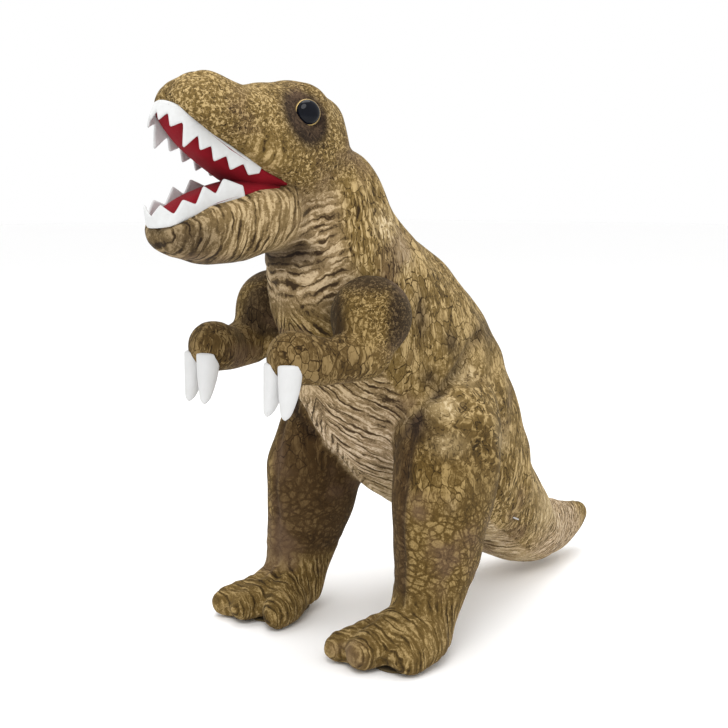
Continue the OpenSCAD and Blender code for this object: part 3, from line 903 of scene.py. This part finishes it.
# A leg's border with the body lies behind the plane where its bending starts, so the two never part.
for side, sign in SIDES:
    outward = np.array((0.75 * sign, -0.30, -0.59)) * MM
    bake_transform(pieces["leg_skin_" + side], "torso", "leg_" + side, outward * -15.5, outward * 22)
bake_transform(pieces["tail_skin"], "torso", "tail", (0, 0.044, 0.08), (0, 0.100, 0.08))

# ---------- arms and claws ----------


def placed(name, mesh, material, slot, body, thick, *nodes):
    """Shows a piece that rides on one body, in place of the CAD nodes given; thick, 0 for a hard one, is not
    used.
    """
    obj = shown(name, mesh)
    obj.data.materials.append(material)
    if nodes:
        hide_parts(*nodes)
    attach(obj, body)


def arm_skin(side):
    """One stuffed arm with its hand, with the print's coordinates and masks, and painted shade round the
    shoulder and on the forearm.
    """
    balls = (SHOULDER, ELBOW, WRIST, HAND)
    parts = [linked(side, a, b) for a, b in zip(balls, balls[1:])]
    mesh = keep_largest(modified(joined(parts), "REMESH", mode="VOXEL", voxel_size=ARM_VOXEL * MM))
    set_points(mesh, relaxed(points_of(mesh), edges_of(mesh), 3))
    mesh = modified(mesh, "SUBSURF", levels=1)
    p = points_of(mesh) / MM
    n = normals_of(mesh)
    q = mirrored(p)
    elbow_fold, _ = segment_distance(q, (40, -96, 170), (56, -88, 192))
    move = groove(elbow_fold, 3, 1.2)
    move += groove(np.linalg.norm(q - SHOULDER[:3], axis=1) - 26.5, 2.5, 1.3) * (q[:, 0] > 40)
    seam = groove(np.abs(q[:, 0] - 47) + 40 * (p[:, 2] > 184), 1.4, 0.8)
    p = p + n * (move + seam)[:, None]
    set_points(mesh, p * MM)
    _, t = segment_distance(q, SHOULDER[:3], HAND[:3])
    store(mesh, "rest_co", p)
    flow = np.stack([t * 70, np.arctan2(p[:, 2] - 190, q[:, 0] - 46) * 17, 80 + 0 * t], 1)
    store(mesh, "flow", flow)
    zeros = 0 * t
    across = np.abs((q[:, 0] + q[:, 1]) / math.sqrt(2) + 34.6)
    from_shoulder = np.linalg.norm(q - SHOULDER[:3], axis=1)
    rim = np.maximum(smoothstep(9, 17, across), smoothstep(219, 229, p[:, 2]))
    # Darker at the sides and top of the shoulder's ball, out to its crease: painted shade.
    shoulder_crease_shade = rim * smoothstep(31, 26, from_shoulder) * smoothstep(186, 196, p[:, 2])
    for name in ("jaw", "foot", "throat", "belly", "tail", "scale", "hip", "pale", "light"):
        store(mesh, "m_" + name, zeros)
    store(mesh, "m_head", smoothstep(0.45, 0.2, t))
    store(mesh, "m_eye_and_shade", 0.8 * shoulder_crease_shade)
    store(mesh, "m_leg", 0.7 + zeros)
    # The forearm and hand darker: painted shade under the head.
    store(mesh, "m_inner_shade", 0.55 * smoothstep(0.3, 0.6, t))
    mesh.shade_smooth()
    return mesh


def claw(side, offset, bend):
    """A soft curved claw, as a closed tube of rings that narrows to its tip."""
    bm = bmesh.new()
    sides, count = 20, 14
    base = np.array(HAND[:3]) + (offset, -8, -2)
    rings = []
    for k in range(count + 1):
        t = k / count
        radius = 6.6 * (1 - t**2.2 * 0.70) if k < count else 0.4
        centre = base + np.array((bend * t * t, -5 * t * t, -31 * t))
        ring = []
        for j in range(sides):
            a = 2 * math.pi * j / sides
            pinch = 1 - 0.05 * math.cos(2 * a)
            ring.append(bm.verts.new((centre[0] + radius * pinch * math.cos(a),
                                      centre[1] + radius * 1.1 * math.sin(a), centre[2])))
        rings.append(ring)
    bridge(bm, rings)
    return finished(modified(mesh_from(bm, "claw", side, MM), "SUBSURF", levels=1))


for side, sign in SIDES:
    arm = "arm_" + side
    placed("arm_skin_" + side, arm_skin(sign), skin_material, "printed_velour", arm, 0.9,
           "arm_cover_" + side, "arm_stuffing_" + side)
    for which, offset, bend in (("inner_", -5.5, -2), ("outer_", 6.5, 1)):
        placed("soft_claw_" + which + side, claw(sign, offset, bend), claw_material, "white_velour", arm, 0.9,
               "claw_" + which + side)

# ---------- the mouth ----------


def lip_outline(lip, inset, count):
    """Points round a lip from its left corner, round the front, to its right corner: (x, reach)."""
    reach, radius, half = lip
    r, w = radius - inset, half - inset
    front = reach - radius
    lean = math.asin((w - r) / math.hypot(front, w - r))
    points = [(w, 0.0)]
    for k in range(count + 1):
        a = lean + (math.pi - 2 * lean) * k / count
        points.append((r * math.cos(a), front + r * math.sin(a)))
    points.append((-w, 0.0))
    return np.array(points)


def evenly(points, step):
    """The same line with points every step or so."""
    d = np.concatenate([[0], np.cumsum(np.linalg.norm(np.diff(points, axis=0), axis=1))])
    s = np.linspace(0, d[-1], int(d[-1] / step) + 1)
    return np.stack([np.interp(s, d, points[:, k]) for k in range(points.shape[1])], 1), s


def on_lip(x, reach, out, upper):
    """A point on a lip's plane, in millimetres; out is measured into the mouth."""
    slope = UPPER_SLOPE if upper else -LOWER_SLOPE
    facing = -1 if upper else 1
    y = LIP[1] - reach * math.cos(slope) + facing * out * math.sin(slope)
    bow = lip_bow(LIP[1] - reach * math.cos(slope), upper)
    z = LIP[2] + reach * math.sin(slope) + facing * out * math.cos(slope) + bow
    return np.stack([x + 0 * y, y, z], -1)


def grid_faces(rows, count, first=0, closed=False):
    """Quads between neighbouring rows of count points; closed ones also join each row's ends."""
    faces = []
    for k in range(rows):
        for j in range(count if closed else count - 1):
            a, b = first + k * count + j, first + k * count + (j + 1) % count
            faces.append((a, b, b + count, a + count))
    return faces


def sheet(name, rows, faces):
    """A mesh from rows of points, in millimetres; points that meet are merged."""
    mesh = bpy.data.meshes.new(name)
    mesh.from_pydata(np.concatenate(rows) * MM, [], faces)
    bm = bmesh.new()
    bm.from_mesh(mesh)
    bpy.data.meshes.remove(mesh)
    bmesh.ops.remove_doubles(bm, verts=bm.verts[:], dist=0.02 * MM)
    return mesh_from(bm, name)


def lining(lip, upper, swell):
    """A velour lining that bulges a little into the mouth."""
    outline, _ = evenly(lip_outline(lip, 1.2, 24), 2.0)
    rings = 12
    centre = np.array((0, lip[0] * 0.5))
    rows = []
    for k in range(rings + 1):
        share = 1 - k / rings
        ring = centre + (outline - centre) * share
        rise = 0.6 + swell * (1 - share**3) * smoothstep(0, 30, ring[:, 1])
        rows.append(on_lip(ring[:, 0], ring[:, 1], rise, upper))
    mesh = sheet("lining", rows, grid_faces(rings, len(outline), closed=True))
    return finished(modified(mesh, "SOLIDIFY", thickness=1.0 * MM, offset=0))


def teeth(lip, upper, start, tips):
    """A felt strip round a lip with pointed teeth, which starts and ends that far from the lip's ends."""
    outline, s = evenly(lip_outline(lip, 0.8, 24), 0.9)
    total = s[-1]
    half = [(d, h) for d, h in tips if d < total / 2]
    place, high = np.array(half + [(total - d, h) for d, h in half[::-1]]).T
    end = total - start
    notch = (place[:-1] + place[1:]) / 2
    low = np.minimum(high[:-1], high[1:]) * 0.5
    knots = np.concatenate([[start], place, notch, [end]])
    heights = np.concatenate([[high[0] * 0.5], high, low, [high[-1] * 0.5]])
    order = np.argsort(knots)
    inside = (s >= start) & (s <= end)
    outline, s = outline[inside], s[inside]
    top = np.interp(s, knots[order], heights[order])
    top = relaxed(top, np.stack([np.arange(len(s) - 1), np.arange(1, len(s))], 1), 1, 0.3)
    steps, felt_t = 10, 1.6
    ahead = np.gradient(outline, axis=0)
    ahead /= np.linalg.norm(ahead, axis=1, keepdims=True)
    inward = np.stack([-ahead[:, 1], ahead[:, 0]], 1)
    inward *= np.sign((-outline * inward).sum(1).mean()) or 1
    rows = []
    for layer in (0, 1):
        for k in range(steps + 1):
            v = k / steps
            lean = 0.05 * top * v * v + 0.5 * np.sin(s / 7) * v
            edge = 0.35 if k in (0, steps) else 0
            away = outline + inward * (layer * felt_t * (1 - 2 * edge) + felt_t * edge + lean)[:, None]
            rows.append(on_lip(away[:, 0], away[:, 1], top * v - 1.0, upper))
    count = len(s)
    back = (steps + 1) * count
    faces = grid_faces(steps, count) + grid_faces(steps, count, back)
    for j in range(count - 1):
        for a in (j, steps * count + j):
            faces.append((a, a + 1, a + 1 + back, a + back))
    for k in range(steps):
        for a in (k * count, k * count + count - 1):
            faces.append((a, a + count, a + count + back, a + back))
    return finished(sheet("teeth", rows, faces))


# The teeth of one side: (distance from the mouth's corner, height)
UPPER_TIPS = ((38, 8.5), (49, 11.5), (60, 13), (70, 13), (79, 18.5), (90, 12.5), (98.5, 11))
LOWER_TIPS = ((51, 13), (64, 13), (78, 11), (91, 12))

upper_strip = teeth(UPPER_LIP, True, 32, UPPER_TIPS)
lower_strip = teeth(LOWER_LIP, False, 40, LOWER_TIPS)
placed("palate_cloth", lining(UPPER_LIP, True, 9.5), red_material, "red_velour", "head", 0.5, "palate_lining")
placed("mouth_floor_cloth", lining(LOWER_LIP, False, 7.0), red_material, "red_velour", "jaw", 0.5,
       "mouth_floor_lining")
placed("upper_tooth_strip", upper_strip, felt_material, "white_felt", "head", 0.3, "upper_teeth")
placed("lower_tooth_strip", lower_strip, felt_material, "white_felt", "jaw", 0.3, "lower_teeth")

# ---------- eyes ----------

EYE_LEAN = 82  # the eye's axis, in degrees from the vertical


def eye_matrix(sign):
    """Places an eye that is modelled upright, on one side of the head."""
    turn = Matrix.Rotation(math.radians(-EYE_YAW), 4, "Z") @ Matrix.Rotation(math.radians(EYE_LEAN), 4, "Y")
    return Matrix.Diagonal((sign * MM, MM, MM, 1)) @ Matrix.Translation(EYE) @ turn


def turned_profile(profile, matrix, sides=48):
    """A closed solid of revolution from (radius, height) points."""
    bm = bmesh.new()
    rings = []
    for radius, height in profile:
        ring = []
        for k in range(sides if radius else 1):
            a = 2 * math.pi * k / sides
            ring.append(bm.verts.new((radius * math.cos(a), radius * math.sin(a), height)))
        rings.append(ring)
    for low, high in zip(rings, rings[1:]):
        for k in range(sides):
            j = (k + 1) % sides
            corners = [low[k % len(low)], low[j % len(low)], high[j % len(high)], high[k % len(high)]]
            bm.faces.new(list(dict.fromkeys(corners)))
    bmesh.ops.transform(bm, matrix=matrix, verts=bm.verts[:])
    return finished(mesh_from(bm, "turned"))


def dome(radius, rise, base, steps=12):
    """The profile of a dome on a short stem."""
    line = [(0, base - 3), (radius, base - 3)]
    for k in range(steps):
        a = math.pi / 2 * k / steps
        line.append((radius * math.cos(a), base + rise * math.sin(a)))
    return line + [(0, base + rise)]


BALL_LINE = dome(6.9, 3.9, 1.4)
RIM_LINE = ((6.4, 0.2), (7.5, 0.2), (7.6, 0.8), (7.3, 1.4), (6.9, 1.7), (6.6, 1.6), (6.4, 0.2))
for side, sign in SIDES:
    ball, rim = (turned_profile(line, eye_matrix(sign)) for line in (BALL_LINE, RIM_LINE))
    placed("eye_dome_" + side, ball, eye_material, "eye_plastic", "head", 0, "eye_" + side)
    placed("eye_rim_" + side, rim, gold_material, "eye_plastic", "head", 0)

# ---------- soles ----------

SOLE_LENGTH = 48
SOLE_Y = -72


def sole(side):
    """A flat pad with rounded edges, wider under the toes than at the heel."""
    bm = bmesh.new()
    a = 2 * math.pi * np.arange(64) / 64
    half_width = 14 + 7 * np.maximum(0, -np.sin(a)) ** 0.5
    x = half_width * np.cos(a) - 1
    y = SOLE_LENGTH / 2 * np.sin(a) - 4
    rings = []
    for inset, height in ((1.0, 0.02), (0.3, 0.3), (0, 0.8), (0.4, 1.3), (1.2, SOLE_T)):
        share = 1 - inset / (SOLE_LENGTH / 2)
        across, along = FOOT_X + x * share, SOLE_Y + 4 + y * share
        rings.append([bm.verts.new((u, v, height)) for u, v in zip(across, along)])
    bridge(bm, rings)
    return finished(mesh_from(bm, "sole", side, MM))


for side, sign in SIDES:
    placed("sole_pad_" + side, sole(sign), sole_material, "sole_velour", "leg_" + side, 0.3, "sole_" + side)

# ---------- the CAD nodes that are shown as they are ----------

for node, material in (("tag_pin", nylon_material), ("eye_washer_left", washer_material),
                       ("eye_washer_right", washer_material)):
    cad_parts[node].data.materials.clear()
    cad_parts[node].data.materials.append(material)

# ---------- floor, light and camera ----------

FLOOR_HALF = 12.0  # metres
corners = [(x * FLOOR_HALF, y * FLOOR_HALF, 0) for x, y in ((-1, -1), (1, -1), (1, 1), (-1, 1))]
stage_floor = shown("stage_floor", bpy.data.meshes.new("stage_floor"))
stage_floor.data.from_pydata(corners, [], [(0, 1, 2, 3)])
stage_floor.data.materials.append(paper_floor())


def area_light(name, place, aim, size, power):
    """A round lamp that looks at a point; places are in metres."""
    data = bpy.data.lights.new(name, "AREA")
    data.shape = "DISK"
    data.size = size
    data.energy = power
    lamp = bpy.data.objects.new(name, data)
    bpy.context.scene.collection.objects.link(lamp)
    lamp.location = place
    lamp.rotation_euler = (Vector(aim) - Vector(place)).to_track_quat("-Z", "Y").to_euler()


area_light("key_light", (0.7, -0.9, 1.5), (0, 0, 0.18), 1.0, 14)
area_light("top_light", (-0.2, 0.1, 1.8), (0, 0, 0.2), 1.2, 12)

world = bpy.data.worlds.new("studio")
world.use_nodes = True
background = world.node_tree.nodes["Background"].inputs
background["Color"].default_value = (1, 1, 1, 1)
background["Strength"].default_value = 1.0
bpy.context.scene.world = world
bpy.context.scene.view_settings.view_transform = "Standard"

camera_data = bpy.data.cameras.new("photo_camera")
camera_data.sensor_width = 36
camera_data.lens = 56.87
camera = bpy.data.objects.new("photo_camera", camera_data)
bpy.context.scene.collection.objects.link(camera)
camera.location = Vector((509.22, -559.92, 275)) * MM
yaw, pitch = math.radians(45), math.radians(8.1)
ahead = Vector((-math.sin(yaw) * math.cos(pitch), math.cos(yaw) * math.cos(pitch), -math.sin(pitch)))
camera.rotation_euler = ahead.to_track_quat("-Z", "Y").to_euler()
bpy.context.scene.camera = camera
